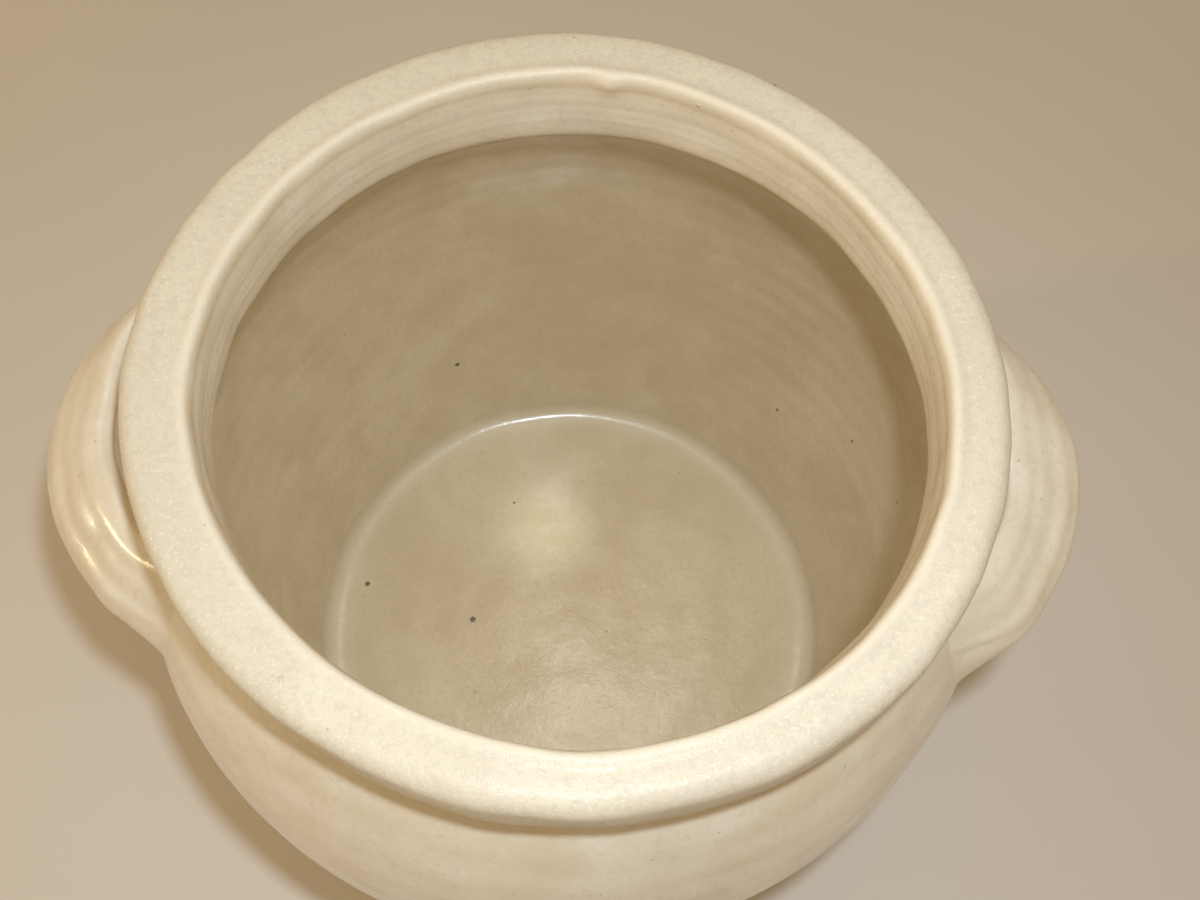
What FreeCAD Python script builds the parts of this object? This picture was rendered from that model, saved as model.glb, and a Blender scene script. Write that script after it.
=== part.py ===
"""Stoneware crock: a wide-mouthed storage pot of salt-glazed stoneware with two ear handles.

Frame: millimetres, +Z up, origin at the centre of the flat underside. The two handles lie along X.
The thrown vessel and the heavy rim collar are turned sections; each handle is a pulled strap, lofted through
slot-shaped sections along a bowed path and cut to the vessel's wall, where it is stuck on with slip.
All driving dimensions stand in the spreadsheet "dims".
"""

import FreeCAD
import Part
import Sketcher

import math
import os

V = FreeCAD.Vector

# alias: (value, what it measures); millimetres and degrees
DIMENSIONS = {
    "overall_height": (250.0, "underside to the top of the rim"),
    "foot_radius": (116.0, "flat underside, before its chamfer"),
    "foot_chamfer": (3.0, "wiped edge of the underside"),
    "belly_radius": (148.0, "widest outside radius"),
    "belly_height": (146.0, "height of the widest point"),
    "neck_radius": (119.0, "outside of the neck, under the rim"),
    "neck_height": (222.0, "where the rim collar sits on the neck"),
    "wall_thickness": (11.0, "wall at the belly"),
    "floor_radius": (108.0, "inside corner of floor and wall"),
    "floor_thickness": (12.0, "clay under the inside floor"),
    "floor_fillet": (8.0, "round between floor and wall"),
    "throat_radius": (108.0, "cylindrical inside of the rim collar"),
    "rim_radius": (130.0, "outside of the rim collar"),
    "rim_underside": (228.0, "height of the collar's lower outer edge"),
    "rim_top_round": (9.0, "round of the collar's upper outer edge"),
    "rim_low_round": (5.0, "round of the collar's lower outer edge"),
    "rim_lip_round": (4.0, "round of the collar's upper inner edge"),
    "strap_width": (31.5, "handle strap across its broad face"),
    "strap_thickness": (10.0, "handle strap through its thickness"),
    "strap_tilt": (44.0, "slope of the broad face at the middle of the bow, outer edge down"),
    "root_tilt": (64.0, "slope of the broad face at the roots"),
    "strap_height": (192.5, "height of the strap's centre line"),
    "strap_half_span": (57.0, "centre line's half span where it meets the wall"),
    "strap_root_out": (127.0, "centre line's distance out from the axis where it meets the wall"),
    "root_flare": (1.15, "root width over strap width"),
    "root_swell": (1.5, "root thickness over strap thickness"),
    "left_reach": (163.0, "farthest point of the left handle's centre line from the axis"),
    "right_reach": (159.6, "farthest point of the right handle's centre line from the axis"),
    "left_angle": (176.5, "direction of the left handle round Z"),
    "right_angle": (1.0, "direction of the right handle round Z"),
}

# Where a handle's sections stand on its bow, as shares of the half span, and how far each has turned from
# the strap's middle form into its root form. The bow runs on past 1 into the wall, and is cut off there.
BOW_STATIONS = [(0.0, 0.0), (0.35, 0.05), (0.65, 0.3), (0.88, 0.65), (1.08, 1.0), (1.3, 1.0)]

doc = FreeCAD.newDocument("stoneware_crock")


# ---------------------------------------------------------------- spreadsheet
def make_sheet():
    """The driving dimensions: name, value and meaning, one row each."""
    sheet = doc.addObject("Spreadsheet::Sheet", "dims")
    for row, (alias, (value, meaning)) in enumerate(DIMENSIONS.items(), start=1):
        sheet.set(f"A{row}", alias)
        sheet.set(f"B{row}", str(value))
        sheet.set(f"C{row}", meaning)
        sheet.setAlias(f"B{row}", alias)
    doc.recompute()
    return sheet


sheet = make_sheet()


def dim(alias):
    """A driving dimension's value, read back from the spreadsheet."""
    return float(getattr(sheet, alias))


# ---------------------------------------------------------------- helpers
def origin_plane(body, role):
    """A body's own origin plane, such as XZ_Plane."""
    return next(o for o in body.Origin.OriginFeatures if o.Role == role)


def section_sketch(body, name):
    """A sketch on the body's XZ plane: its x is the radius and its y the height."""
    sketch = body.newObject("Sketcher::SketchObject", name)
    sketch.AttachmentSupport = [(origin_plane(body, "XZ_Plane"), "")]
    sketch.MapMode = "FlatFace"
    return sketch


def bind(sketch, constraint, expression):
    """Adds a constraint, which carries its rough value already, and ties it to the spreadsheet."""
    index = sketch.addConstraint(constraint)
    name = f"size_{index}"
    sketch.renameConstraint(index, name)
    sketch.setExpression(f"Constraints.{name}", expression)


def bind_x(sketch, geometry, end, radius):
    """Fixes a point's radius, given as an expression of the sheet."""
    x = sketch.getPoint(geometry, end).x
    bind(sketch, Sketcher.Constraint("DistanceX", -1, 1, geometry, end, x), radius)


def bind_y(sketch, geometry, end, height):
    """Fixes a point's height, given as an expression of the sheet."""
    y = sketch.getPoint(geometry, end).y
    bind(sketch, Sketcher.Constraint("DistanceY", -1, 1, geometry, end, y), height)


def pin_point(sketch, geometry, end, radius, height):
    """Fixes a point of the section at a radius and a height."""
    bind_x(sketch, geometry, end, radius)
    bind_y(sketch, geometry, end, height)


def close_chain(sketch, count):
    """Joins the end of each of the first count pieces to the next one's start, and the last to the first."""
    for i in range(count):
        sketch.addConstraint(Sketcher.Constraint("Coincident", i, 2, (i + 1) % count, 1))


def revolve(body, sketch, name):
    """Turns a section once round the pot's axis."""
    feature = body.newObject("PartDesign::Revolution", name)
    feature.Profile = sketch
    feature.ReferenceAxis = (sketch, ["V_Axis"])
    feature.Angle = 360.0
    sketch.Visibility = False
    doc.recompute()
    return feature


def ring_edge(shape, radius, height):
    """The name of the circular edge nearest to a radius and height."""

    def miss(edge):
        box = edge.BoundBox
        return abs(box.XMax - radius) + abs((box.ZMin + box.ZMax) / 2 - height)

    level = [(miss(e), i) for i, e in enumerate(shape.Edges, start=1) if e.BoundBox.ZLength < 1e-3]
    return f"Edge{min(level)[1]}"


def dress_ring(body, base, kind, name, radius, height, size_name, size):
    """Rounds or chamfers one circular edge of a turned piece."""
    feature = body.newObject(f"PartDesign::{kind}", name)
    feature.Base = (base, [ring_edge(base.Shape, radius, height)])
    feature.setExpression(size_name, f"dims.{size}")
    doc.recompute()
    return feature


# ---------------------------------------------------------------- thrown vessel
def bow_arc(belly, end, height):
    """An arc from the belly point, where it runs upright, to another point of the wall."""
    across = belly - end.x
    along = end.y - height
    radius = (across**2 + along**2) / (2 * across)
    centre = V(belly - radius, height, 0)
    start_angle = 0.0
    end_angle = math.atan2(end.y - centre.y, end.x - centre.x)
    circle = Part.Circle(centre, V(0, 0, 1), radius)
    return Part.ArcOfCircle(circle, min(start_angle, end_angle), max(start_angle, end_angle))


def add_wall_line(sketch, belly_x, foot, neck):
    """One side of the wall: two arcs that meet upright at the belly. Returns the lower and upper arc."""
    height = dim("belly_height")
    lower = sketch.addGeometry(bow_arc(belly_x, foot, height))
    upper = sketch.addGeometry(bow_arc(belly_x, neck, height))
    sketch.addConstraint(Sketcher.Constraint("Coincident", lower, 2, upper, 1))
    for arc in (lower, upper):
        bind_y(sketch, arc, 3, "dims.belly_height")
    return lower, upper


def make_vessel():
    """Floor, wall and shoulder in one piece, as it comes off the wheel."""
    body = doc.addObject("PartDesign::Body", "Vessel")
    body.Label = "crock_vessel"
    sketch = section_sketch(body, "VesselSection")
    foot = V(dim("foot_radius"), 0, 0)
    neck_out = V(dim("neck_radius"), dim("neck_height"), 0)
    neck_in = V(dim("throat_radius"), dim("neck_height"), 0)
    corner = V(dim("floor_radius"), dim("floor_thickness"), 0)
    inner_belly = dim("belly_radius") - dim("wall_thickness")

    outer_low, outer_high = add_wall_line(sketch, dim("belly_radius"), foot, neck_out)
    inner_low, inner_high = add_wall_line(sketch, inner_belly, corner, neck_in)
    underside = sketch.addGeometry(Part.LineSegment(V(0, 0, 0), foot))
    seat = sketch.addGeometry(Part.LineSegment(neck_out, neck_in))
    floor = sketch.addGeometry(Part.LineSegment(corner, V(0, corner.y, 0)))
    axis = sketch.addGeometry(Part.LineSegment(V(0, corner.y, 0), V(0, 0, 0)))

    joins = [
        (underside, 2, outer_low, 1),
        (outer_high, 2, seat, 1),
        (seat, 2, inner_high, 2),
        (inner_low, 1, floor, 1),
        (floor, 2, axis, 1),
        (axis, 2, underside, 1),
        (axis, 2, -1, 1),
    ]
    for join in joins:
        sketch.addConstraint(Sketcher.Constraint("Coincident", *join))
    sketch.addConstraint(Sketcher.Constraint("Horizontal", underside))
    sketch.addConstraint(Sketcher.Constraint("Horizontal", seat))
    sketch.addConstraint(Sketcher.Constraint("Horizontal", floor))
    sketch.addConstraint(Sketcher.Constraint("Vertical", axis))
    bind_x(sketch, underside, 2, "dims.foot_radius")
    pin_point(sketch, outer_low, 2, "dims.belly_radius", "dims.belly_height")
    pin_point(sketch, inner_low, 2, "dims.belly_radius - dims.wall_thickness", "dims.belly_height")
    pin_point(sketch, seat, 1, "dims.neck_radius", "dims.neck_height")
    bind_x(sketch, seat, 2, "dims.throat_radius")
    pin_point(sketch, floor, 1, "dims.floor_radius", "dims.floor_thickness")
    doc.recompute()

    turned = revolve(body, sketch, "VesselTurned")
    filleted = dress_ring(
        body, turned, "Fillet", "FloorFillet", corner.x, corner.y, "Radius", "floor_fillet"
    )
    dress_ring(body, filleted, "Chamfer", "FootChamfer", foot.x, 0, "Size", "foot_chamfer")
    return body


def make_outer_form():
    """The vessel's outside as a solid form, which is what the handles' roots are cut to."""
    body = doc.addObject("PartDesign::Body", "OuterForm")
    sketch = section_sketch(body, "OuterFormSection")
    foot = V(dim("foot_radius"), 0, 0)
    neck = V(dim("neck_radius"), dim("neck_height"), 0)
    lower, upper = add_wall_line(sketch, dim("belly_radius"), foot, neck)
    underside = sketch.addGeometry(Part.LineSegment(V(0, 0, 0), foot))
    top = sketch.addGeometry(Part.LineSegment(neck, V(0, neck.y, 0)))
    axis = sketch.addGeometry(Part.LineSegment(V(0, neck.y, 0), V(0, 0, 0)))
    joins = [
        (underside, 2, lower, 1),
        (upper, 2, top, 1),
        (top, 2, axis, 1),
        (axis, 2, underside, 1),
        (axis, 2, -1, 1),
    ]
    for join in joins:
        sketch.addConstraint(Sketcher.Constraint("Coincident", *join))
    sketch.addConstraint(Sketcher.Constraint("Horizontal", underside))
    sketch.addConstraint(Sketcher.Constraint("Horizontal", top))
    sketch.addConstraint(Sketcher.Constraint("Vertical", axis))
    bind_x(sketch, underside, 2, "dims.foot_radius")
    pin_point(sketch, lower, 2, "dims.belly_radius", "dims.belly_height")
    pin_point(sketch, top, 1, "dims.neck_radius", "dims.neck_height")
    doc.recompute()
    revolve(body, sketch, "OuterFormTurned")
    body.Visibility = False
    return body


# ---------------------------------------------------------------- rim collar
def make_rim():
    """The heavy collar: a thick coil set on the neck and thrown to a flat-topped rim."""
    body = doc.addObject("PartDesign::Body", "Rim")
    body.Label = "rim_collar"
    sketch = section_sketch(body, "RimSection")
    top = dim("overall_height")
    low = dim("rim_underside")
    seat = dim("neck_height")
    corners = [
        (dim("throat_radius"), seat, "dims.throat_radius", "dims.neck_height"),
        (dim("neck_radius"), seat, "dims.neck_radius", "dims.neck_height"),
        (dim("rim_radius"), low, "dims.rim_radius", "dims.rim_underside"),
        (dim("rim_radius"), top, "dims.rim_radius", "dims.overall_height"),
        (dim("throat_radius"), top, "dims.throat_radius", "dims.overall_height"),
    ]
    for i, (x, y, _, _) in enumerate(corners):
        next_x, next_y = corners[(i + 1) % len(corners)][:2]
        sketch.addGeometry(Part.LineSegment(V(x, y, 0), V(next_x, next_y, 0)))
    close_chain(sketch, len(corners))
    for i, (_, _, radius, height) in enumerate(corners):
        pin_point(sketch, i, 1, radius, height)
    doc.recompute()

    feature = revolve(body, sketch, "RimTurned")
    rounds = [
        ("TopRound", dim("rim_radius"), top, "rim_top_round"),
        ("LowRound", dim("rim_radius"), low, "rim_low_round"),
        ("LipRound", dim("throat_radius"), top, "rim_lip_round"),
    ]
    for name, radius, height, size in rounds:
        feature = dress_ring(body, feature, "Fillet", name, radius, height, "Radius", size)
    return body


# ---------------------------------------------------------------- ear handles
def slot_sketch(name, share):
    """A strap section, drawn about its own centre: x runs across the broad face and y through the strap."""
    sketch = doc.addObject("Sketcher::SketchObject", name)
    width = dim("strap_width") * (1 + share * (dim("root_flare") - 1))
    thick = dim("strap_thickness") * (1 + share * (dim("root_swell") - 1))
    half = (width - thick) / 2
    r = thick / 2
    quarter = math.pi / 2
    right = Part.ArcOfCircle(Part.Circle(V(half, 0, 0), V(0, 0, 1), r), -quarter, quarter)
    left = Part.ArcOfCircle(Part.Circle(V(-half, 0, 0), V(0, 0, 1), r), quarter, 3 * quarter)
    sketch.addGeometry(Part.LineSegment(V(-half, -r, 0), V(half, -r, 0)))
    sketch.addGeometry(right)
    sketch.addGeometry(Part.LineSegment(V(half, r, 0), V(-half, r, 0)))
    sketch.addGeometry(left)
    for a, b in ((0, 1), (1, 2), (2, 3), (3, 0)):
        sketch.addConstraint(Sketcher.Constraint("Tangent", a, 2, b, 1))
    sketch.addConstraint(Sketcher.Constraint("Horizontal", 0))
    sketch.addConstraint(Sketcher.Constraint("Symmetric", 1, 3, 3, 3, -1, 1))
    wide = f"dims.strap_width * (1 + {share} * (dims.root_flare - 1))"
    deep = f"dims.strap_thickness * (1 + {share} * (dims.root_swell - 1))"
    bind(sketch, Sketcher.Constraint("Radius", 1, r), f"({deep}) / 2")
    bind(sketch, Sketcher.Constraint("DistanceX", 3, 3, 1, 3, 2 * half), f"{wide} - ({deep})")
    sketch.Visibility = False
    return sketch


def place_section(sketch, reach, turn, station, share):
    """Stands a section square to the bow, its broad face tilted down and out, on the handle's side.

    The bow is a parabola in plan: station is a share of its half span and turn its direction round Z.
    """
    drop = reach - dim("strap_root_out")
    out = reach - drop * station**2
    across = dim("strap_half_span") * station
    heading = math.radians(turn) + math.atan(2 * drop * station / dim("strap_half_span"))
    tilt = math.radians(dim("strap_tilt") + share * (dim("root_tilt") - dim("strap_tilt")))
    outward = V(math.cos(heading), math.sin(heading), 0)
    up = V(0, 0, 1)
    broad = outward * math.cos(tilt) - up * math.sin(tilt)
    normal = outward * math.sin(tilt) + up * math.cos(tilt)
    rotation = FreeCAD.Rotation(broad, normal, broad.cross(normal), "XYZ")
    place = FreeCAD.Rotation(up, turn).multVec(V(out, across, dim("strap_height")))
    sketch.Placement = FreeCAD.Placement(place, rotation)


def bow_sections(side):
    """The strap's sections from the end of one root to the end of the other."""
    mirrored = [(-station, share) for station, share in reversed(BOW_STATIONS[1:])]
    sections = []
    for i, (station, share) in enumerate(mirrored + BOW_STATIONS):
        sketch = slot_sketch(f"{side}_section_{i:02d}", share)
        place_section(sketch, dim(f"{side}_reach"), dim(f"{side}_angle"), station, share)
        sections.append(sketch)
    doc.recompute()
    return sections


def make_handle(side, form):
    """One ear handle: the lofted strap, cut off where it meets the vessel's outer form."""
    strap = doc.addObject("Part::Loft", f"{side}_strap")
    strap.Sections = bow_sections(side)
    strap.Solid = True
    strap.Ruled = False
    strap.Visibility = False
    handle = doc.addObject("Part::Cut", f"{side}_handle_cut")
    handle.Base = strap
    handle.Tool = form
    handle.Label = f"{side}_handle"
    doc.recompute()
    return handle


# ---------------------------------------------------------------- build, check, export
def check_document():
    """Stops on any object that FreeCAD left invalid."""
    failed = [o.Name for o in doc.Objects if {"Invalid", "Error"} & set(o.State)]
    if failed:
        raise RuntimeError(f"these objects failed to build: {failed}")


def export(parts):
    """Writes each sub-part's solids to parts/LABEL.step."""
    os.makedirs("parts", exist_ok=True)
    for part in parts:
        shape = part.Shape
        if shape.isNull() or not shape.isValid() or not shape.Solids:
            raise RuntimeError(f"{part.Label} has no valid solid")
        shape.exportStep(f"parts/{part.Label}.step")
        print(f"{part.Label}: {len(shape.Solids)} solid, {shape.Volume / 1000:.1f} cm3, {shape.BoundBox}")


vessel = make_vessel()
rim = make_rim()
outer_form = make_outer_form()
left_handle = make_handle("left", outer_form)
right_handle = make_handle("right", outer_form)
doc.recompute()
check_document()
export([vessel, rim, left_handle, right_handle])
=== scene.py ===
"""The looks of a salt-glazed stoneware crock: hand-thrown vessel, rim collar and two pulled strap handles.

Everything is in metres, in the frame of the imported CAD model: +Z up, origin at the centre of the underside,
the handles along X. Each CAD node is replaced by a finely shaped piece of about the same size, with the small
unevenness of hand work and a procedural stoneware glaze.
"""

import math
from collections import namedtuple

import bpy
import numpy as np
from mathutils import Matrix, Vector


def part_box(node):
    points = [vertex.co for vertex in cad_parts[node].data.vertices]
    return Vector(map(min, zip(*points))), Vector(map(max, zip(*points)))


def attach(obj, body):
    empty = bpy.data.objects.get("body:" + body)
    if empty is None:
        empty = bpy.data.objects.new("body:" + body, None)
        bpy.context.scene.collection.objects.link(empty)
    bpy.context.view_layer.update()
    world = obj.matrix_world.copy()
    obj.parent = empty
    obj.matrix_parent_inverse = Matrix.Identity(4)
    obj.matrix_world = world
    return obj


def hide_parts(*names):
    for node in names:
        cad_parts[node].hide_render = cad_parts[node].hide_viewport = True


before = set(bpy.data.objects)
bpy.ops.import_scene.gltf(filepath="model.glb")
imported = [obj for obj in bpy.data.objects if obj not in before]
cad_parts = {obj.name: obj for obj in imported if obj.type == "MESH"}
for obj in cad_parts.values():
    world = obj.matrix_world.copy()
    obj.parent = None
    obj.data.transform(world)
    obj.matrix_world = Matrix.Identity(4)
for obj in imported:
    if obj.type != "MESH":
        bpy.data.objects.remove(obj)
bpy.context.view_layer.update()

MM = 0.001

# ---------------------------------------------------------------- sizes from the frame
vessel_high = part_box("crock_vessel")[1]
rim_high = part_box("rim_collar")[1]
BELLY_RADIUS = vessel_high.y
NECK_HEIGHT = vessel_high.z
RIM_RADIUS = rim_high.y
RIM_TOP = rim_high.z

# ---------------------------------------------------------------- sizes of the form, at or close to the CAD's
BELLY_HEIGHT = 146 * MM
FOOT_RADIUS = 116 * MM
FOOT_CHAMFER = 3 * MM
NECK_RADIUS = 119 * MM
THROAT_RADIUS = 107.8 * MM
WALL = 11 * MM
FLOOR_RADIUS = 108 * MM
FLOOR_HEIGHT = 12 * MM
FLOOR_FILLET = 8 * MM
SHOULDER_POWER = 2.3
# A low step in the pot's floor: its place, the spread of the step, how far it reaches, and its height
FLOOR_SWELL = (-12 * MM, 46 * MM)
SWELL_SPREAD = 8 * MM
SWELL_REACH = 24 * MM
SWELL_HEIGHT = 0.3 * MM

STRAP_WIDTH = 31 * MM
STRAP_THICKNESS = 10 * MM
STRAP_HEIGHT = 192.5 * MM
STRAP_HALF_SPAN = 59 * MM
STRAP_ROOT_OUT = 127 * MM
NEAR_ROOT_TILT = math.radians(46)
FAR_ROOT_TILT = math.radians(68)

SEGMENTS = 320

# Hand-made unevenness of a round: (how many lobes, height in mm, direction of the first lobe in degrees)
RIM_OUTSIDE_LOBES = [(0, 0.25, 0), (1, 1.9, 118), (2, 1.2, -41), (3, 0.65, -42), (4, 0.4, 0), (9, 0.12, 20)]
RIM_INSIDE_LOBES = [(1, 0.6, -35), (2, 1.5, -46), (3, 0.5, -47), (4, 0.45, 0), (11, 0.1, 10)]
THROAT_LOBES = [(1, 1.3, 64), (2, 2.0, -15), (3, 0.6, -42)]
# The throat's lobes are eased away over the front, the direction of -Y
FRONT = 1.5 * math.pi
FRONT_WIDTH = 0.8
THROAT_FRONT_EASE = 3.2 * MM
BODY_LOBES = [(2, 0.7, 40), (3, 0.4, 100), (5, 0.2, 10)]


# ---------------------------------------------------------------- shape helpers
def smoothstep(low, high, x):
    """0 below low, 1 above high, and a smooth S between."""
    t = np.clip((x - low) / (high - low), 0, 1)
    return t * t * (3 - 2 * t)


def bump_at(centre, width, x):
    """A smooth hump, 1 at its centre."""
    return np.exp(-(((x - centre) / width) ** 2))


def lobes(terms, angle):
    """The sum of a list of lobes at each angle, in metres."""
    total = np.zeros_like(angle)
    for count, height, direction in terms:
        total += height * MM * np.cos(count * (angle - math.radians(direction)))
    return total


def lumps(points, size, seed):
    """Smooth random relief from -1 to 1 at points in space, its lumps about as large as size."""
    draw = np.random.default_rng(seed)
    waves = 28
    total = np.zeros(points.shape[:-1])
    for _ in range(waves):
        direction = draw.normal(size=3)
        direction /= np.linalg.norm(direction)
        length = size * draw.uniform(1.4, 3.0)
        total += np.sin(points @ direction * (2 * math.pi / length) + draw.uniform(0, 2 * math.pi))
    return total / math.sqrt(waves)


def polar(radius, angle, height):
    """Points from radius, angle and height."""
    return np.stack([radius * np.cos(angle), radius * np.sin(angle), height + 0 * radius * angle], axis=-1)


def arc(centre, radius, start, end, count):
    """Points (r, z) on an arc, from one angle to another in degrees."""
    angles = np.radians(np.linspace(start, end, count))
    return [(centre[0] + radius * math.cos(a), centre[1] + radius * math.sin(a)) for a in angles]


def resample(outline, step, closed=False):
    """A smooth outline through the given points (r, z), with points about a step apart."""
    points = np.array(outline, float)
    if closed:
        points = np.vstack([points, points[:1]])
    run = np.concatenate([[0], np.cumsum(np.linalg.norm(np.diff(points, axis=0), axis=1))])
    count = max(int(run[-1] / step), 8)
    at = np.linspace(0, run[-1], count + 1)
    if closed:
        at = at[:-1]
    return np.stack([np.interp(at, run, points[:, k]) for k in (0, 1)], axis=-1)


def smooth_outline(points, rounds, closed=False):
    """Takes the corners off an outline by averaging each point with its neighbours a few times."""
    points = np.array(points, float)
    for _ in range(rounds):
        before = np.roll(points, 1, axis=0)
        after = np.roll(points, -1, axis=0)
        eased = (before + 2 * points + after) / 4
        if not closed:
            eased[0] = points[0]
            eased[-1] = points[-1]
        points = eased
    return points


def make_object(name, vertices, faces, materials, face_material=None, marks=None):
    """A smooth-shaded mesh object, with its materials and its painted marks."""
    mesh = bpy.data.meshes.new(name)
    mesh.from_pydata([tuple(v) for v in vertices], [], faces)
    mesh.polygons.foreach_set("use_smooth", [True] * len(faces))
    for material in materials:
        mesh.materials.append(material)
    if face_material is not None:
        mesh.polygons.foreach_set("material_index", face_material)
    for mark, values in (marks or {}).items():
        mesh.attributes.new(mark, "FLOAT", "POINT").data.foreach_set("value", values)
    mesh.validate()
    mesh.update()
    piece = bpy.data.objects.new(name, mesh)
    bpy.context.scene.collection.objects.link(piece)
    return piece


def ring_faces(ring_count, ring_size, closed):
    """Quads between rings of points, each ring closed on itself; the last ring joins the first if closed."""
    faces = []
    for i in range(ring_count if closed else ring_count - 1):
        a = i * ring_size
        b = ((i + 1) % ring_count) * ring_size
        for j in range(ring_size):
            k = (j + 1) % ring_size
            faces.append((a + j, a + k, b + k, b + j))
    return faces


def turned(faces):
    """The same faces seen from the other side, for pieces whose rings run the other way round."""
    return [face[::-1] for face in faces]


# ---------------------------------------------------------------- form of the wall
def outer_radius(height):
    """The vessel's outside radius at each height."""
    height = np.asarray(height, float)
    below = np.clip((BELLY_HEIGHT - height) / BELLY_HEIGHT, 0, 1)
    above = np.clip((height - BELLY_HEIGHT) / (NECK_HEIGHT - BELLY_HEIGHT), 0, 1.2)
    drop_low = (BELLY_RADIUS - FOOT_RADIUS) * below**2
    drop_high = (BELLY_RADIUS - NECK_RADIUS) * above**SHOULDER_POWER
    return BELLY_RADIUS - 0.5 * MM - drop_low - drop_high


def inner_radius(height):
    """The vessel's inside radius at each height."""
    height = np.asarray(height, float)
    below = np.clip((BELLY_HEIGHT - height) / (BELLY_HEIGHT - FLOOR_HEIGHT), 0, 1)
    above = np.clip((height - BELLY_HEIGHT) / (NECK_HEIGHT - BELLY_HEIGHT), 0, 1.2)
    belly = BELLY_RADIUS - WALL
    return belly - (belly - FLOOR_RADIUS) * below**2.1 - (belly - THROAT_RADIUS - 1.5 * MM) * above**2.2


def body_unevenness(angle, height):
    """How far the wall stands off the true round: lobes from handling, and the spiral of throwing rings."""
    spiral = np.sin(2 * math.pi * height / (13 * MM) + angle) * 0.10 * MM
    share = smoothstep(0, 0.12, height)
    return lobes(BODY_LOBES, angle) * (0.3 + 0.7 * share) + spiral


def throat_stand(angle):
    """How far the throat stands off the true round."""
    return lobes(THROAT_LOBES, angle) + THROAT_FRONT_EASE * bump_at(FRONT, FRONT_WIDTH, angle)


def wall_surface(angle, height):
    """Points on the vessel's outside."""
    radius = outer_radius(height) + body_unevenness(angle, height) - 0.35 * MM
    points = polar(radius, angle, height)
    relief = lumps(points, 26 * MM, 11) * 0.22 * MM
    return polar(radius + relief, angle, height)


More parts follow.
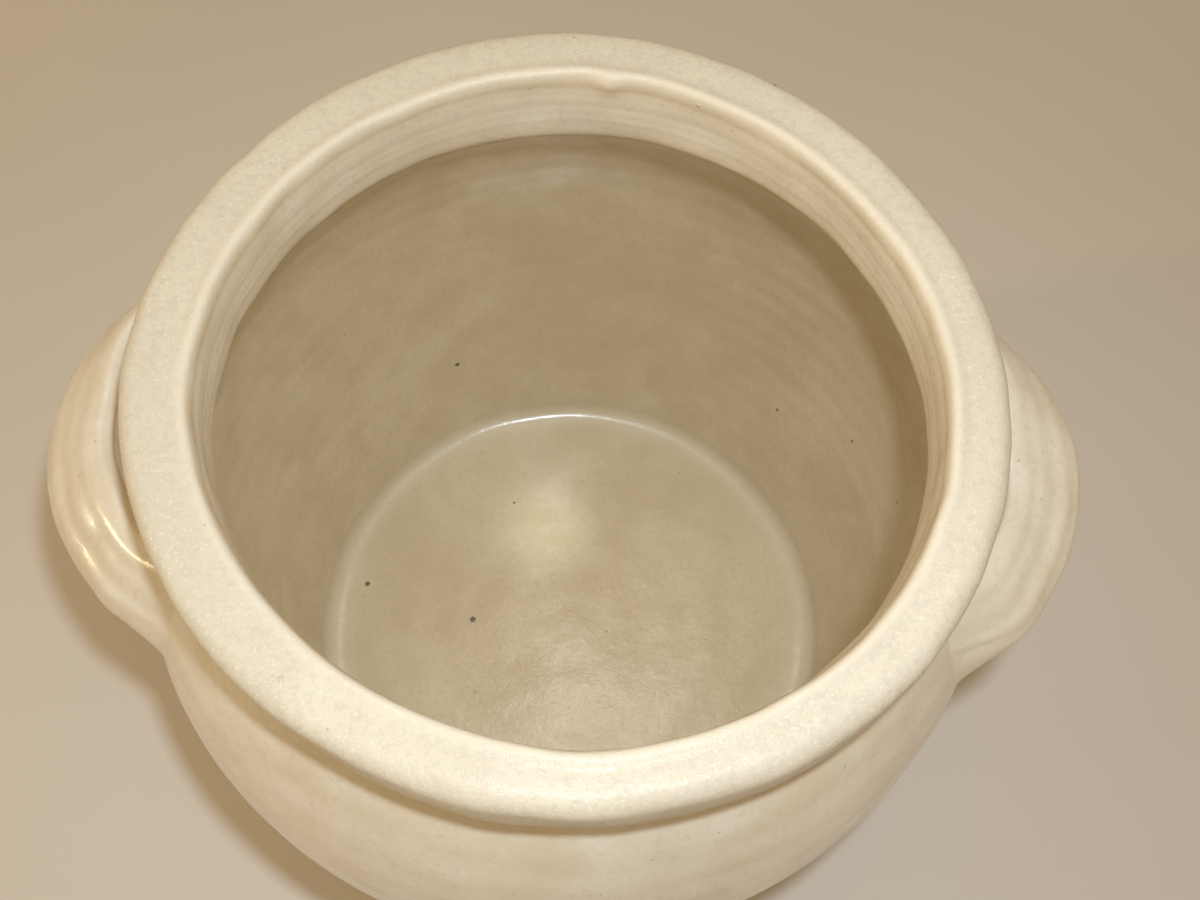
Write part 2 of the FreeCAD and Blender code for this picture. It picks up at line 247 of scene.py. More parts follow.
# ---------------------------------------------------------------- pieces
def make_vessel(materials):
    """Floor, wall and shoulder: one closed shell from the middle of the underside to that of the floor."""
    top = NECK_HEIGHT + 2 * MM
    heights_out = np.linspace(FOOT_CHAMFER, top, 92)
    outside = [(float(outer_radius(z)), z) for z in heights_out]
    base = [(0.0, 0.9 * MM), (0.55 * FOOT_RADIUS, 0.6 * MM), (0.8 * FOOT_RADIUS, 0.1 * MM)]
    base += [(FOOT_RADIUS - FOOT_CHAMFER - 2 * MM, 0.0), (FOOT_RADIUS - 0.8 * FOOT_CHAMFER, 0.4 * MM)]
    heights_in = np.linspace(NECK_HEIGHT, FLOOR_HEIGHT + FLOOR_FILLET, 90)
    inside = [(float(inner_radius(z)), z) for z in heights_in]
    corner_radius = inside[-1][0]
    turn_centre = (corner_radius - FLOOR_FILLET, FLOOR_HEIGHT + FLOOR_FILLET)
    corner = arc(turn_centre, FLOOR_FILLET, -8, -90, 9)
    floor_edge = corner[-1][0]
    floor_shares = (0.9, 0.75, 0.55, 0.35, 0.15, 0)
    floor = [(floor_edge * share, FLOOR_HEIGHT + 0.7 * MM * (1 - share)) for share in floor_shares]
    cap = [(THROAT_RADIUS + 5 * MM, top)]

    sections = [resample(base, 3 * MM), resample(outside, 2.2 * MM), resample(cap + inside, 2.2 * MM)]
    sections += [resample(corner, 1.2 * MM), resample(floor, 3 * MM)]
    outline = smooth_outline(np.vstack(sections), 1)
    parts = np.concatenate([np.full(len(s), k) for k, s in enumerate(sections)])
    outline = outline[1:-1]
    parts = parts[1:-1]

    angle = np.linspace(0, 2 * math.pi, SEGMENTS, endpoint=False)[None, :]
    radius = outline[:, :1] + 0 * angle
    height = outline[:, 1:] + 0 * angle
    part = parts[:, None] + 0 * angle
    away = body_unevenness(angle + 0 * radius, height)
    neck_share = smoothstep(NECK_HEIGHT - 60 * MM, NECK_HEIGHT, height)
    neck_out = lobes(RIM_OUTSIDE_LOBES, angle + 0 * radius) * 0.7
    neck_in = throat_stand(angle + 0 * radius)
    on_wall = (part == 1) | (part == 0)
    inside_wall = (part == 2) | (part == 3)
    stand = np.where(on_wall, away - 0.35 * MM, 0) + np.where(inside_wall, away * 0.8, 0)
    stand = stand + neck_share * np.where(part == 1, neck_out, np.where(part == 2, neck_in, 0))
    stand *= smoothstep(0, 0.6 * FOOT_RADIUS, radius)
    radius = radius + stand
    points = polar(radius, angle, height)
    relief = lumps(points, 26 * MM, 11) * 0.22 * MM
    radius = radius + np.where(on_wall & (height > 1 * MM), relief, 0)
    radius = radius + np.where(inside_wall, relief * 1.2, 0)
    rings = np.sin(2 * math.pi * radius / (19 * MM) + angle) * 0.05 * MM
    rings = rings + lumps(points, 34 * MM, 5) * 0.16 * MM
    off = points[..., :2] - np.array(FLOOR_SWELL)
    fade = np.exp(-(off**2).sum(axis=-1) / SWELL_REACH**2)
    swell = np.tanh(off[..., 1] / SWELL_SPREAD) * fade * SWELL_HEIGHT
    height = height + np.where(part == 4, rings + swell, 0)
    points = polar(radius, angle, height)

    count = len(outline)
    vertices = points.reshape(-1, 3).tolist()
    faces = ring_faces(count, SEGMENTS, closed=False)
    face_parts = np.repeat(parts[:-1], SEGMENTS).tolist()
    underside = len(vertices)
    vertices.append((0.0, 0.0, float(height[0].mean())))
    middle = len(vertices)
    vertices.append((0.0, 0.0, float(height[-1].mean())))
    last = (count - 1) * SEGMENTS
    for j in range(SEGMENTS):
        k = (j + 1) % SEGMENTS
        faces.append((underside, k, j))
        faces.append((middle, last + j, last + k))
        face_parts += [0, 4]
    slots = [{0: 2, 1: 1}.get(part_number, 0) for part_number in face_parts]

    flat_radius = np.hypot([v[0] for v in vertices], [v[1] for v in vertices])
    heights = np.array([v[2] for v in vertices])
    # A pale ring is painted along the floor's fillet: a painted highlight.
    fillet_highlight = bump_at(floor_edge + 3 * MM, 5 * MM, flat_radius) * (heights < FLOOR_HEIGHT + 9 * MM)
    # A darker band is painted at the top of the wall, under the rim: partly pooled glaze, partly painted
    # shade.
    neck_pool_and_shade = smoothstep(NECK_HEIGHT - 9 * MM, NECK_HEIGHT + 1 * MM, heights)
    marks = {"wear_and_highlight": fillet_highlight * 0.9, "pool_and_shade": neck_pool_and_shade}
    return make_object("vessel_thrown", vertices, faces, materials, slots, marks)


def make_rim(material):
    """The rim collar: a closed ring, round outside, with a bead on the inner edge and a tapering throat."""
    top = RIM_TOP
    seat = NECK_HEIGHT
    outline = [(THROAT_RADIUS + 7 * MM, seat - 1.5 * MM), (THROAT_RADIUS + 4 * MM, seat - 2.6 * MM)]
    outline += arc((THROAT_RADIUS + 4.6 * MM, seat + 2.2 * MM), 4.6 * MM, 245, 180, 7)
    outline += [(THROAT_RADIUS + 0.2 * MM, seat + 8 * MM), (THROAT_RADIUS + 0.9 * MM, seat + 15 * MM)]
    outline += [(THROAT_RADIUS + 1.9 * MM, top - 6 * MM), (THROAT_RADIUS + 2.5 * MM, top - 3 * MM)]
    outline += arc((THROAT_RADIUS + 5.0 * MM, top - 2.3 * MM), 2.3 * MM, 175, 60, 8)
    outline += [(THROAT_RADIUS + 8.2 * MM, top - 0.85 * MM), (RIM_RADIUS - 14 * MM, top - 0.75 * MM)]
    outline += [(RIM_RADIUS - 9 * MM, top - 0.6 * MM)]
    outline += arc((RIM_RADIUS - 6.2 * MM, top - 6.8 * MM), 6.2 * MM, 80, 4, 10)
    outline += [(RIM_RADIUS + 0.2 * MM, top - 11 * MM)]
    outline += arc((RIM_RADIUS - 5.5 * MM, top - 16 * MM), 5.5 * MM, 0, -80, 9)
    outline += [(NECK_RADIUS + 2.5 * MM, seat + 4.6 * MM), (NECK_RADIUS - 0.2 * MM, seat + 2.4 * MM)]
    outline += [(NECK_RADIUS - 3 * MM, seat + 1.5 * MM)]
    outline = smooth_outline(resample(outline, 0.75 * MM, closed=True), 3, closed=True)

    angle = np.linspace(0, 2 * math.pi, SEGMENTS, endpoint=False)[None, :]
    radius = outline[:, :1] + 0 * angle
    height = outline[:, 1:] + 0 * angle
    outward = smoothstep(THROAT_RADIUS + 6 * MM, RIM_RADIUS - 4 * MM, radius)
    low = smoothstep(top - 2 * MM, seat + 2 * MM, height)
    inside = (1 - low) * lobes(RIM_INSIDE_LOBES, angle) + low * throat_stand(angle)
    stand = outward * lobes(RIM_OUTSIDE_LOBES, angle) + (1 - outward) * inside
    throat = (radius < THROAT_RADIUS + 3.2 * MM) & (height > seat + 3 * MM)
    lines = sum(
        bump_at(top - depth * MM, 0.9 * MM, height + np.sin(angle * 2 + depth) * 0.5 * MM) * cut
        for depth, cut in ((6.5, 0.12), (10.5, -0.08), (14.5, 0.13), (20, -0.10))
    )
    stand = stand + np.where(throat, lines * MM, 0)

    points = polar(radius, angle, height)
    stand = stand + lumps(points, 11 * MM, 21) * 0.22 * MM + lumps(points, 34 * MM, 22) * 0.25 * MM
    lift = lumps(points, 24 * MM, 23) * 0.20 * MM + lumps(points, 8 * MM, 24) * 0.05 * MM
    on_top = smoothstep(top - 8 * MM, top - 2 * MM, height)
    inner_edge = bump_at(THROAT_RADIUS + 4.2 * MM, 2.4 * MM, radius) * on_top
    nick = bump_at(math.radians(84), 0.035, angle) * bump_at(top - 4 * MM, 4 * MM, height)
    stand = stand - nick * np.where(radius < THROAT_RADIUS + 6 * MM, 1.5 * MM, 0)
    radius = radius + stand
    height = height + on_top * (lift - 0.35 * MM) + inner_edge * lumps(points, 18 * MM, 25) * 0.25 * MM
    points = polar(radius, angle, height)

    facing_in = smoothstep(THROAT_RADIUS + 5 * MM, THROAT_RADIUS + 2.5 * MM, outline[:, :1] + 0 * angle)
    below_bead = bump_at(top - 5.2 * MM, 2.0 * MM, outline[:, 1:] + 0 * angle)
    # Painted darker below the bead on the inner face and at the collar's foot: partly pooled glaze, partly
    # painted shade.
    pool_and_shade = facing_in * below_bead + smoothstep(seat + 6 * MM, seat, outline[:, 1:] + 0 * angle) * 0.8
    level = outline[:, 1:] + 0 * angle
    dry = (1 - facing_in) * smoothstep(seat + 7 * MM, seat + 16 * MM, level)
    # The bead's crest (inner_edge) is painted paler: a painted highlight.
    marks = {"wear_and_highlight": inner_edge.reshape(-1), "pool_and_shade": pool_and_shade.reshape(-1), "dry": dry.reshape(-1)}
    faces = turned(ring_faces(len(outline), SEGMENTS, closed=True))
    return make_object("rim_collar_thrown", points.reshape(-1, 3), faces, [material], None, marks)


# ---------------------------------------------------------------- strap handles
# A strap's bow: reach from the axis, direction, fullness of the far half, tilt at the middle, random seed
Strap = namedtuple("Strap", "reach direction fullness tilt seed")
STRAP_STATIONS = 84
STRAP_POINTS = 72
ROOT_RINGS = 22
# Where the free strap ends, as a share of its half span, and where its foot stands on the wall
ROOT_STATION = 0.84
ROOT_ANGLE = math.radians(28.5)
# The smeared foot: its drop below the strap, and how much larger it is than the strap's section
FOOT_DROP = 1.5 * MM
FOOT_WIDER = 1.35
FOOT_DEEPER = 2.1
# How gently the tilt starts to change from the middle, and how full the bow is on its near half
TILT_EASE = 0.3
NEAR_FULLNESS = 2.1
# How much wider the strap gets towards its near root and its far root
NEAR_WIDENING = 0.04
FAR_WIDENING = -0.10


def strap_section(share, widening, flute_depth, seed):
    """A strap section about its centre: offsets across, from the inner edge to the outer, and through.

    share is 0 at the middle of the bow and 1 at the root, where the strap is thicker. widening says how much
    wider it is here than at the middle. The upper face is nearly flat, with shallow flutes, and the underside
    is full.
    """
    turn = np.linspace(0, 2 * math.pi, STRAP_POINTS, endpoint=False)
    half_width = STRAP_WIDTH / 2 * (1 + widening)
    half_depth = STRAP_THICKNESS / 2 * (1 + 0.25 * share)
    flat = 0.42 + 0.25 * share
    across = half_width * np.sign(np.cos(turn)) * np.abs(np.cos(turn)) ** 0.78
    power = np.where(np.sin(turn) > 0, flat, 0.8)
    through = half_depth * np.sign(np.sin(turn)) * np.abs(np.sin(turn)) ** power
    place = across / half_width
    top = smoothstep(0.05, 0.5, np.sin(turn))
    window = smoothstep(1.0, 0.8, np.abs(place))
    flutes = 0.6 * np.cos(place * 11.5 + 0.6 + seed) + 0.5 * np.cos(place * 6.1 + 2 + seed)
    through = through + top * window * flutes * flute_depth
    return across, through


def strap_frame(strap, station):
    """Centre, across, through and along directions of the strap at a station of its bow."""
    direction = strap.direction
    drop = strap.reach - STRAP_ROOT_OUT
    share = min(abs(station) / 1.08, 1)
    near = station * math.cos(direction) < 0
    fullness = NEAR_FULLNESS if near else strap.fullness
    slope = fullness * math.copysign(abs(station) ** (fullness - 1), station)
    heading = direction + math.atan(drop * slope / STRAP_HALF_SPAN)
    root_tilt = NEAR_ROOT_TILT if near else FAR_ROOT_TILT
    tilt = strap.tilt + (root_tilt - strap.tilt) * share**2 * (1 + TILT_EASE) / (share + TILT_EASE)
    out = strap.reach - drop * abs(station) ** fullness
    side = STRAP_HALF_SPAN * station
    centre = Vector((
        out * math.cos(direction) - side * math.sin(direction),
        out * math.sin(direction) + side * math.cos(direction),
        STRAP_HEIGHT + 0.5 * MM * math.sin(5 * station + direction),
    ))
    outward = Vector((math.cos(heading), math.sin(heading), 0))
    across = outward * math.cos(tilt) - Vector((0, 0, 1)) * math.sin(tilt)
    through = outward * math.sin(tilt) + Vector((0, 0, 1)) * math.cos(tilt)
    return centre, across, through, share


def strap_ring(strap, station):
    """The strap's section in place, as points in space, with the frame it stands in."""
    centre, across, through, share = strap_frame(strap, station)
    widening = share**2 * (NEAR_WIDENING if centre.y < 0 else FAR_WIDENING)
    flute_depth = (0.24 - 0.16 * math.tanh(centre.y / (20 * MM))) * MM
    wide, deep = strap_section(share, widening, flute_depth, strap.seed)
    wide = wide * (1 + 0.02 * math.sin(4 * station + strap.seed))
    ring = np.array(centre) + np.outer(wide, across) + np.outer(deep, through)
    return ring, centre, np.array(across), np.array(through), wide, deep


def root_rings(strap, end):
    """The rings that carry a strap from its last free section down to its smeared foot on the wall."""
    station = ROOT_STATION * end
    ring, centre, across, through, wide, deep = strap_ring(strap, station)
    before = np.array(strap_frame(strap, station - 0.02 * end)[0])
    along = np.array(centre) - before
    along /= np.linalg.norm(along)
    foot_angle = strap.direction + end * ROOT_ANGLE
    foot = wall_surface(np.array(foot_angle), np.array(STRAP_HEIGHT - FOOT_DROP))
    normal = np.array([math.cos(foot_angle), math.sin(foot_angle), 0.25])
    normal /= np.linalg.norm(normal)

    def in_wall(vector):
        flat = vector - normal * (vector @ normal)
        return flat / np.linalg.norm(flat)

    wall_across = in_wall(across)
    wall_through = in_wall(through)
    spread = foot + np.outer(wide * FOOT_WIDER, wall_across) + np.outer(deep * FOOT_DEEPER, wall_through)
    angles = np.arctan2(spread[:, 1], spread[:, 0])
    print_ring = wall_surface(angles, spread[:, 2])
    inward = -np.stack([np.cos(angles), np.sin(angles), 0 * angles], axis=-1)
    print_ring = print_ring + inward * 0.35 * MM
    outward = print_ring - foot
    outward /= np.linalg.norm(outward, axis=1)[:, None]
    lead = ring + along * 10 * MM
    settle = print_ring - outward * 5 * MM - inward * 0.6 * MM
    rings = []
    for t in np.linspace(0, 1, ROOT_RINGS)[1:]:
        a = (1 - t) ** 3
        b = 3 * (1 - t) ** 2 * t
        c = 3 * (1 - t) * t**2
        rings.append(a * ring + b * lead + c * settle + t**3 * print_ring)
    rings.append(foot + (print_ring - foot) * 0.9 + inward * 2.0 * MM)
    rings.append(foot + (print_ring - foot) * 0.45 + inward * 3.0 * MM)
    tip = foot - normal * 3.2 * MM
    return rings, tip


def make_handle(name, strap, material):
    """One ear handle: a fluted, bowed strap whose two ends are smeared onto the wall."""
    near_rings, near_tip = root_rings(strap, -1)
    far_rings, far_tip = root_rings(strap, 1)
    stations = np.linspace(-ROOT_STATION, ROOT_STATION, STRAP_STATIONS)
    middle = [strap_ring(strap, t)[0] for t in stations]
    rings = np.array(near_rings[::-1] + middle + far_rings)
    relief = lumps(rings, 16 * MM, 31 + strap.seed) * 0.22 * MM
    relief = relief + lumps(rings, 7 * MM, 32 + strap.seed) * 0.13 * MM
    centres = rings.mean(axis=1, keepdims=True)
    away = rings - centres
    away /= np.linalg.norm(away, axis=2)[:, :, None]
    steady = np.ones(len(rings))
    fade = len(near_rings)
    steady[:fade] = np.linspace(0, 1, fade)
    steady[-fade:] = np.linspace(1, 0, fade)
    rings = rings + away * (relief * steady[:, None])[:, :, None]

    count = len(rings)
    vertices = rings.reshape(-1, 3).tolist() + [tuple(near_tip), tuple(far_tip)]
    faces = ring_faces(count, STRAP_POINTS, closed=False)
    last = (count - 1) * STRAP_POINTS
    for j in range(STRAP_POINTS):
        k = (j + 1) % STRAP_POINTS
        faces.append((count * STRAP_POINTS, k, j))
        faces.append((count * STRAP_POINTS + 1, last + j, last + k))
    turn = np.linspace(0, 2 * math.pi, STRAP_POINTS, endpoint=False)
    # Both long edges of the strap are painted paler, where the glaze wears thin.
    edge = np.tile(smoothstep(0.75, 1.0, np.abs(np.cos(turn))) * 0.5, count)
    wear_and_highlight = np.concatenate([edge, [0, 0]])
    marks = {"wear_and_highlight": wear_and_highlight, "pool_and_shade": np.zeros(len(vertices))}
    return make_object(name, vertices, turned(faces), [material], None, marks)


# ---------------------------------------------------------------- materials
class Nodes:
    """A material's node tree, with short calls for the nodes that the glazes use."""

    def __init__(self, name):
        self.material = bpy.data.materials.new(name)
        self.material.use_nodes = True
        self.tree = self.material.node_tree
        self.shader = self.tree.nodes["Principled BSDF"]
        self.place = self.tree.nodes.new("ShaderNodeTexCoord").outputs["Object"]

    def link(self, source, target):
        self.tree.links.new(source, target)

    def set(self, target, value):
        """Links a socket, or sets a plain value."""
        if isinstance(value, bpy.types.NodeSocket):
            self.link(value, target)
        else:
            target.default_value = value

    def noise(self, scale, detail=3.0, roughness=0.5, distortion=0.0):
        node = self.tree.nodes.new("ShaderNodeTexNoise")
        self.link(self.place, node.inputs["Vector"])
        node.inputs["Scale"].default_value = scale
        node.inputs["Detail"].default_value = detail
        node.inputs["Roughness"].default_value = roughness
        node.inputs["Distortion"].default_value = distortion
        return node.outputs["Fac"]

    def cells(self, scale):
        """Scattered points: the distance to the nearest, and a random number for it."""
        node = self.tree.nodes.new("ShaderNodeTexVoronoi")
        self.link(self.place, node.inputs["Vector"])
        node.inputs["Scale"].default_value = scale
        split = self.tree.nodes.new("ShaderNodeSeparateColor")
        self.link(node.outputs["Color"], split.inputs["Color"])
        return node.outputs["Distance"], split.outputs["Red"]

    def mark(self, name):
        node = self.tree.nodes.new("ShaderNodeAttribute")
        node.attribute_name = name
        return node.outputs["Fac"]

    def math(self, operation, a, b=0.0):
        node = self.tree.nodes.new("ShaderNodeMath")
        node.operation = operation
        self.set(node.inputs[0], a)
        self.set(node.inputs[1], b)
        return node.outputs[0]

    def between(self, value, low, high, out_low=0.0, out_high=1.0):
        """Takes low to high smoothly to out_low to out_high."""
        node = self.tree.nodes.new("ShaderNodeMapRange")
        node.interpolation_type = "SMOOTHSTEP"
        self.set(node.inputs["Value"], value)
        node.inputs["From Min"].default_value = low
        node.inputs["From Max"].default_value = high
        node.inputs["To Min"].default_value = out_low
        node.inputs["To Max"].default_value = out_high
        return node.outputs["Result"]

    def mix(self, share, a, b, blend="MIX"):
        node = self.tree.nodes.new("ShaderNodeMix")
        node.data_type = "RGBA"
        node.blend_type = blend
        self.set(node.inputs[0], share)
        self.set(node.inputs[6], a)
        self.set(node.inputs[7], b)
        return node.outputs[2]

    def distance_to(self, point):
        node = self.tree.nodes.new("ShaderNodeVectorMath")
        node.operation = "DISTANCE"
        self.link(self.place, node.inputs[0])
        node.inputs[1].default_value = point
        return node.outputs["Value"]

    def bump(self, height, distance, below=None):
        node = self.tree.nodes.new("ShaderNodeBump")
        self.link(height, node.inputs["Height"])
        node.inputs["Distance"].default_value = distance
        if below is not None:
            self.link(below, node.inputs["Normal"])
        return node.outputs["Normal"]


def rgba(red, green, blue):
    return (red, green, blue, 1.0)


def stoneware(name, light, dark, gloss, grain, spots=(), dry=None):
    """Salt-glazed stoneware: mottled clay under a thin glaze, with fine grain and a few iron specks."""
    nodes = Nodes(name)
    cloud = nodes.noise(11, 4, 0.55, 0.6)
    patch = nodes.noise(48, 4, 0.6, 0.3)
    fleck = nodes.noise(420, 3, 0.6)
    speck = nodes.noise(1500, 2, 0.5)

    tone = nodes.math("ADD", nodes.math("MULTIPLY", cloud, 0.62), nodes.math("MULTIPLY", patch, 0.38))
    colour = nodes.mix(nodes.between(tone, 0.36, 0.64), rgba(*light), rgba(*dark))
    colour = nodes.mix(nodes.between(fleck, 0.50, 0.72, 0.0, 0.30), colour, rgba(*[c * 0.78 for c in dark]))
    pale = rgba(*[min(c * 1.08 + 0.02, 0.95) for c in light])
    colour = nodes.mix(nodes.between(speck, 0.60, 0.78, 0.0, 0.35), colour, pale)

    if dry is not None:
        chalky = nodes.mix(nodes.between(tone, 0.36, 0.64), rgba(*dry), rgba(*[c * 0.93 for c in dry]))
        grey = rgba(*[c * 0.84 for c in dry])
        chalky = nodes.mix(nodes.between(fleck, 0.46, 0.64, 0.0, 0.55), chalky, grey)
        crystal = nodes.noise(900, 2, 0.7)
        chalky = nodes.mix(nodes.between(crystal, 0.56, 0.68, 0.0, 0.42), chalky, rgba(0.90, 0.85, 0.74))
        colour = nodes.mix(nodes.mark("dry"), colour, chalky)
    # Painted paler along the marked crests and edges: a painted highlight on the rim's bead and the floor's
    # fillet, and glaze worn thin on the handles' edges.
    pale_wear_and_highlight = nodes.math("MULTIPLY", nodes.mark("wear_and_highlight"), nodes.between(patch, 0.3, 0.6, 0.65, 1.0))
    colour = nodes.mix(nodes.math("MULTIPLY", pale_wear_and_highlight, 0.55), colour, rgba(0.85, 0.76, 0.60))
    # Painted darker in the marked band under the rim and in the throat: partly pooled glaze, partly painted
    # shade.
    pooled_and_shaded = nodes.math("MULTIPLY", nodes.mark("pool_and_shade"), nodes.between(patch, 0.3, 0.65, 0.5, 1.0))
    colour = nodes.mix(nodes.math("MULTIPLY", pooled_and_shaded, 0.45), colour, rgba(0.56, 0.42, 0.20))

    near, chance = nodes.cells(75)
    iron = nodes.between(near, 0.035, 0.075, 1.0, 0.0)
    iron = nodes.math("MULTIPLY", iron, nodes.between(chance, 0.90, 0.93))
    fine, fine_chance = nodes.cells(210)
    dust = nodes.between(fine, 0.06, 0.13, 1.0, 0.0)
    dust = nodes.math("MULTIPLY", dust, nodes.between(fine_chance, 0.86, 0.90))
    colour = nodes.mix(nodes.math("MULTIPLY", dust, 0.40), colour, rgba(0.25, 0.18, 0.10))
    colour = nodes.mix(nodes.math("MULTIPLY", iron, 0.75), colour, rgba(0.09, 0.07, 0.05))
    pits = iron
    for point, size in spots:
        away = nodes.math("ADD", nodes.distance_to(point), nodes.math("MULTIPLY", fleck, size * 0.8))
        spot = nodes.between(away, size * 0.9, size * 1.3, 1.0, 0.0)
        colour = nodes.mix(nodes.math("MULTIPLY", spot, 0.85), colour, rgba(0.06, 0.055, 0.045))
        pits = nodes.math("MAXIMUM", pits, spot)
    nodes.link(colour, nodes.shader.inputs["Base Color"])

    rough = nodes.between(patch, 0.3, 0.7, 0.42 - 0.12 * gloss, 0.62 - 0.16 * gloss)
    if dry is not None:
        rough = nodes.math("ADD", rough, nodes.math("MULTIPLY", nodes.mark("dry"), 0.22))
    nodes.link(rough, nodes.shader.inputs["Roughness"])
    nodes.shader.inputs["Coat Weight"].default_value = 0.85 * gloss
    nodes.shader.inputs["Coat Roughness"].default_value = 0.14
    nodes.shader.inputs["Coat IOR"].default_value = 1.45

    swell = nodes.bump(nodes.noise(95, 3, 0.5), 0.18 * MM)
    peel = nodes.bump(nodes.noise(330, 2, 0.45), 0.05 * MM, swell)
    sand = nodes.bump(nodes.noise(1300, 3, 0.65), 0.10 * MM * grain, peel)
    bead, bead_chance = nodes.cells(120)
    drops = nodes.between(bead, 0.05, 0.12, 1.0, 0.0)
    drops = nodes.math("MULTIPLY", drops, nodes.between(bead_chance, 0.93, 0.95))
    dotted = nodes.bump(nodes.math("SUBTRACT", drops, pits), 0.25 * MM, sand)
    nodes.link(dotted, nodes.shader.inputs["Normal"])
    nodes.link(dotted, nodes.shader.inputs["Coat Normal"])
    return nodes.material


def raw_foot():
    """The unglazed underside: toasted, gritty clay with the arcs left by the cutting wire."""
    nodes = Nodes("raw_foot_clay")
    cloud = nodes.noise(16, 4, 0.6, 0.5)
    grit = nodes.noise(700, 4, 0.7)
    colour = nodes.mix(nodes.between(cloud, 0.35, 0.65), rgba(0.50, 0.38, 0.25), rgba(0.36, 0.25, 0.15))
    colour = nodes.mix(nodes.between(grit, 0.52, 0.75, 0.0, 0.5), colour, rgba(0.20, 0.14, 0.09))
    nodes.link(colour, nodes.shader.inputs["Base Color"])
    nodes.shader.inputs["Roughness"].default_value = 0.88
    wave = nodes.tree.nodes.new("ShaderNodeTexWave")
    wave.wave_type = "RINGS"
    wave.rings_direction = "SPHERICAL"
    shift = nodes.tree.nodes.new("ShaderNodeMapping")
    shift.inputs["Location"].default_value = (0.09, 0.12, 0)
    nodes.link(nodes.place, shift.inputs["Vector"])
    nodes.link(shift.outputs["Vector"], wave.inputs["Vector"])
    wave.inputs["Scale"].default_value = 46
    wave.inputs["Distortion"].default_value = 2.2
    wave.inputs["Detail"].default_value = 2
    arcs = nodes.bump(wave.outputs["Fac"], 0.25 * MM)
    nodes.link(nodes.bump(grit, 0.25 * MM, arcs), nodes.shader.inputs["Normal"])
    return nodes.material


def stage_floor():
    """A plain pale surface for the crock to stand on."""
    nodes = Nodes("stage_floor_paint")
    tone = nodes.noise(3, 2)
    colour = nodes.mix(nodes.between(tone, 0.3, 0.7), rgba(0.72, 0.68, 0.62), rgba(0.69, 0.65, 0.59))
    nodes.link(colour, nodes.shader.inputs["Base Color"])
    nodes.shader.inputs["Roughness"].default_value = 0.7
    half = 3.0
    corners = [(-half, -half, 0), (half, -half, 0), (half, half, 0), (-half, half, 0)]
    return make_object("stage_floor", corners, [(0, 1, 2, 3)], [nodes.material])


# ---------------------------------------------------------------- camera and light
# Lens in mm; yaw, looking-down pitch and roll in degrees; place in proportion to the rim
LENS = 39
CAMERA_TURNS = (2.91, 64.1, 3.0)
CAMERA_PLACE = (0, -1.442 * RIM_RADIUS, RIM_TOP + 2.545 * RIM_RADIUS)
KEY_PLACE = (0.032, -0.157, 0.655)
# Where the overhead lights point, and the place on the pot's floor that the narrow light falls on
POT_MIDDLE = (0, 0, 0.1)
GLOW_TARGET = (FLOOR_SWELL[0], FLOOR_SWELL[1], FLOOR_HEIGHT)


def make_camera():
    """Looks down into the mouth from in front, turned a little and rolled a little."""
    data = bpy.data.cameras.new("camera")
    data.sensor_width = 36
    data.lens = LENS
    camera = bpy.data.objects.new("camera", data)
    yaw, pitch, roll = (math.radians(turn) for turn in CAMERA_TURNS)
    forward = Vector((math.sin(yaw) * math.cos(pitch), math.cos(yaw) * math.cos(pitch), -math.sin(pitch)))
    right = forward.cross(Vector((0, 0, 1))).normalized()
    up = right.cross(forward)
    rolled_right = right * math.cos(roll) + up * math.sin(roll)
    rolled_up = up * math.cos(roll) - right * math.sin(roll)
    turn = Matrix((rolled_right, rolled_up, -forward)).transposed().to_4x4()
    camera.matrix_world = Matrix.Translation(CAMERA_PLACE) @ turn
    bpy.context.scene.collection.objects.link(camera)
    bpy.context.scene.camera = camera


def add_light(name, kind, place, target, power, colour):
    """A light at a place, aimed at a target."""
    data = bpy.data.lights.new(name, kind)
    data.energy = power
    data.color = colour
    light = bpy.data.objects.new(name, data)
    light.location = place
    light.rotation_euler = (Vector(target) - Vector(place)).to_track_quat("-Z", "Y").to_euler()
    bpy.context.scene.collection.objects.link(light)
    return light


def area_light(name, place, target, size, power, colour):
    """A soft round light."""
    light = add_light(name, "AREA", place, target, power, colour)
    light.data.shape = "DISK"
    light.data.size = size
    return light


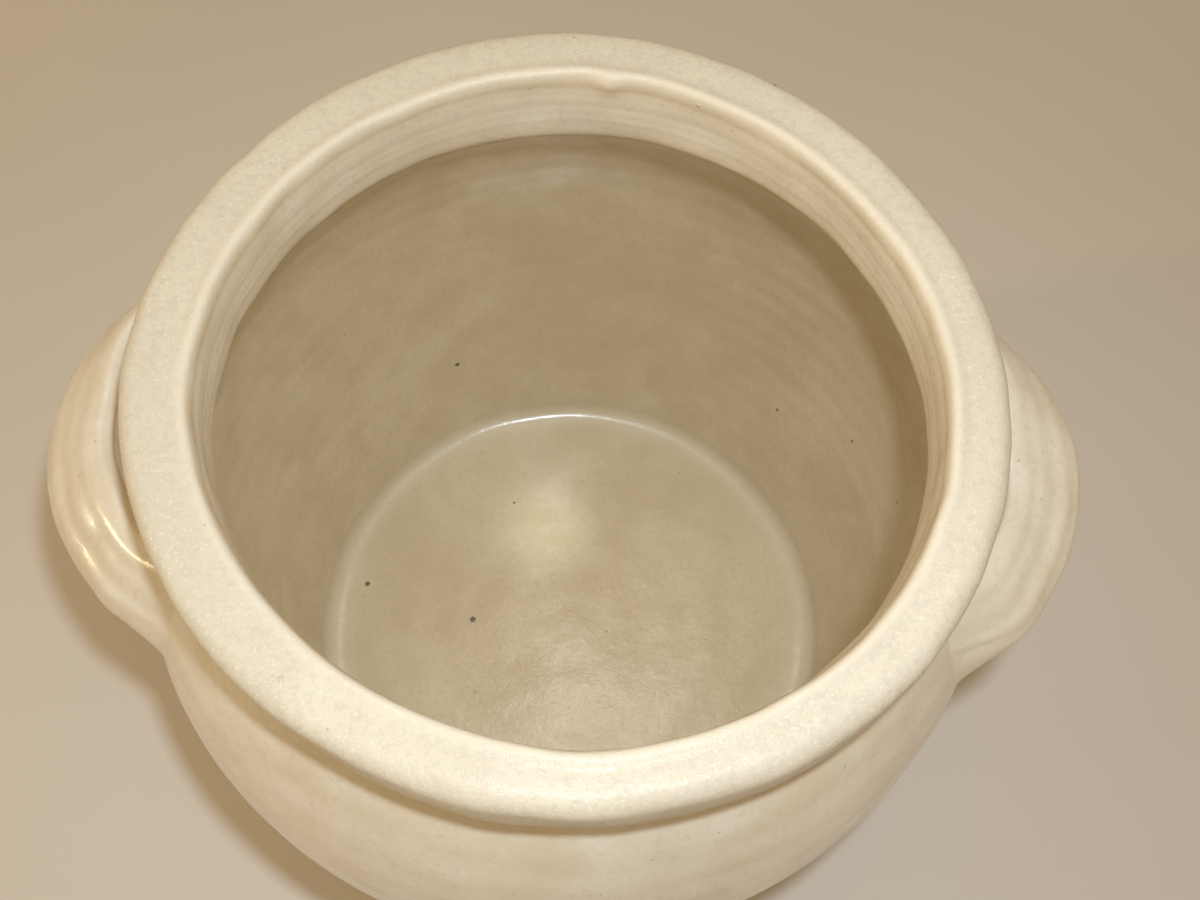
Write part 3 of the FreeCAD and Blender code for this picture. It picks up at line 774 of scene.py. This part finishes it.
def make_lights():
    """A key above the camera, a dim wide light and a small lamp overhead, a low warm light at the left,
    a narrow soft spot on the pot's floor, and a warm surround."""
    area_light("key", KEY_PLACE, (0.0, 0.0, 0.15), 0.028, 1.92, (0.76, 0.87, 0.97))
    area_light("overhead", (0.0, 0.15, 1.6), POT_MIDDLE, 0.9, 1.0, (1.0, 0.69, 0.38))
    lamp = area_light("lamp", (0.060, 0.45, 2.1), POT_MIDDLE, 0.06, 2.0, (1.0, 0.97, 0.92))
    lamp.visible_diffuse = False
    area_light("side", (-1.42, -0.14, 0.62), (0, 0, 0.2), 0.12, 4.0, (1.0, 0.80, 0.48))
    glow = add_light("glow", "SPOT", KEY_PLACE, GLOW_TARGET, 6.0, (0.85, 0.93, 1.0))
    glow.data.spot_size = math.radians(4.6)
    glow.data.spot_blend = 1.0
    glow.data.shadow_soft_size = 0.01
    world = bpy.data.worlds.new("studio")
    world.use_nodes = True
    background = world.node_tree.nodes["Background"]
    background.inputs["Color"].default_value = (1.0, 0.73, 0.44, 1)
    background.inputs["Strength"].default_value = 0.41
    bpy.context.scene.world = world


# ---------------------------------------------------------------- scene
make_camera()
make_lights()
bpy.context.scene.view_settings.view_transform = "Standard"

CREAM = (0.85, 0.79, 0.665)
CREAM_DARK = (0.74, 0.655, 0.49)
CHALK = (0.735, 0.665, 0.52)
OLIVE = (0.76, 0.645, 0.435)
OLIVE_DARK = (0.66, 0.54, 0.335)
RIM_CREAM = (0.81, 0.72, 0.56)
RIM_TAN = (0.75, 0.65, 0.48)
# Dark spots of iron in the glaze inside: place and radius
IRON_SPOTS = [
    ((-0.0445, 0.002, FLOOR_HEIGHT), 1.8 * MM),
    ((-0.0935, 0.019, FLOOR_HEIGHT), 1.7 * MM),
    ((-0.0532, 0.1119, 0.054), 1.6 * MM),
]
glaze_inside = stoneware("glaze_inside", OLIVE, OLIVE_DARK, 1.0, 0.5, IRON_SPOTS)
glaze_outside = stoneware("glaze_outside", CREAM, CREAM_DARK, 1.0, 0.6)
glaze_rim = stoneware("glaze_rim", RIM_CREAM, RIM_TAN, 0.3, 1.5, (), CHALK)
glaze_handle = stoneware("glaze_handle", CREAM, CREAM_DARK, 1.0, 0.6)

vessel = make_vessel([glaze_inside, glaze_outside, raw_foot()])
rim = make_rim(glaze_rim)
left_strap = Strap(161.7 * MM, math.radians(176.0), 3.0, math.radians(40), 0)
right_strap = Strap(155.6 * MM, math.radians(-0.5), 2.6, math.radians(25), 1)
left_handle = make_handle("left_handle_strap", left_strap, glaze_handle)
right_handle = make_handle("right_handle_strap", right_strap, glaze_handle)
floor = stage_floor()

for piece, node, finish in (
    (vessel, "crock_vessel", "vessel_glaze"),
    (rim, "rim_collar", "rim_glaze"),
    (left_handle, "left_handle", "handle_glaze"),
    (right_handle, "right_handle", "handle_glaze"),
):
    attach(piece, "root")
    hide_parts(node)
